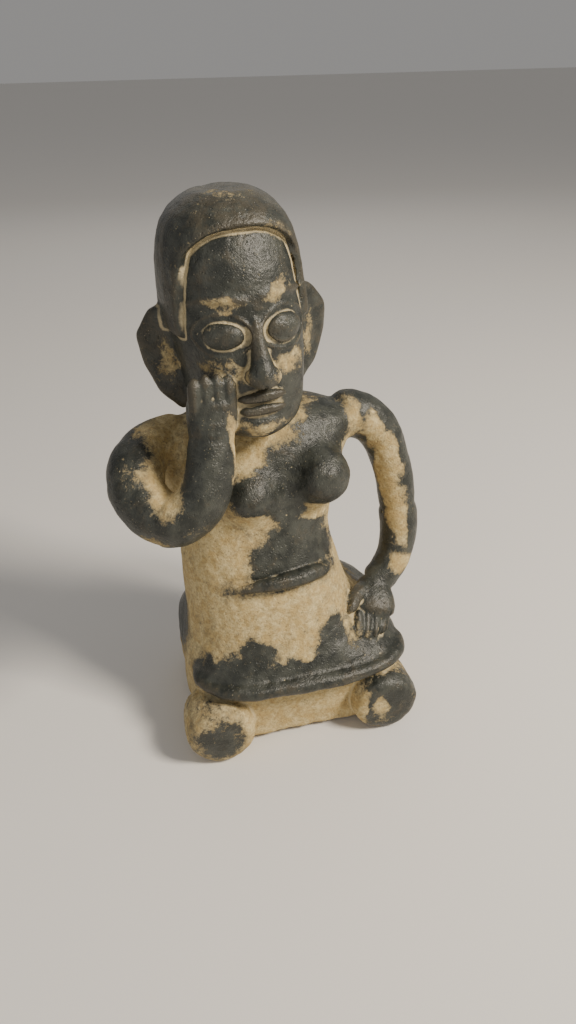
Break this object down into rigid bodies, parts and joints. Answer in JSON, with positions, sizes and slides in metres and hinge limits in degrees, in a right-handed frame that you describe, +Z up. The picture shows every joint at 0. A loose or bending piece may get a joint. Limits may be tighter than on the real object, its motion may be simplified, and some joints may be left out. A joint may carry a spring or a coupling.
{
  "type": "kneeling clay figure",
  "caption": "Kneeling female figure in hollow fired clay with black slip, one hand at the cheek, the other on the hip, on a flat open base.",
  "frame": {"origin": "centre of the base on the plane that the figure stands on", "axes": "+Z up, the figure faces -Y, its left side is +X"},
  "size_m": [0.1802, 0.1276, 0.3072],
  "materials": {
    "slip": "semi-gloss black slip over clay, worn in places",
    "worn_slip": "thin patchy black slip over buff clay",
    "buff_clay": "matte buff fired clay with a pale wash in the grooves"
  },
  "bodies": {
    "root": {"skirt_shell": "buff_clay", "front_panel": "buff_clay", "hem_roll": "slip", "knee_right": "buff_clay", "knee_left": "buff_clay", "waist_roll": "slip", "torso_shell": "worn_slip", "neck": "buff_clay", "head_shell": "slip", "hair_cap": "slip", "breast_right": "slip", "breast_left": "slip", "ear_right": "slip", "eyeball_right": "slip", "eyelid_ring_right": "buff_clay", "ear_left": "slip", "eyeball_left": "slip", "eyelid_ring_left": "buff_clay", "nose": "slip", "upper_lip": "slip", "lower_lip": "slip", "upper_arm_right": "slip", "forearm_right": "slip", "hand_right": "slip", "upper_arm_left": "worn_slip", "forearm_left": "worn_slip", "hand_left": "slip"}
  },
  "joints": []
}
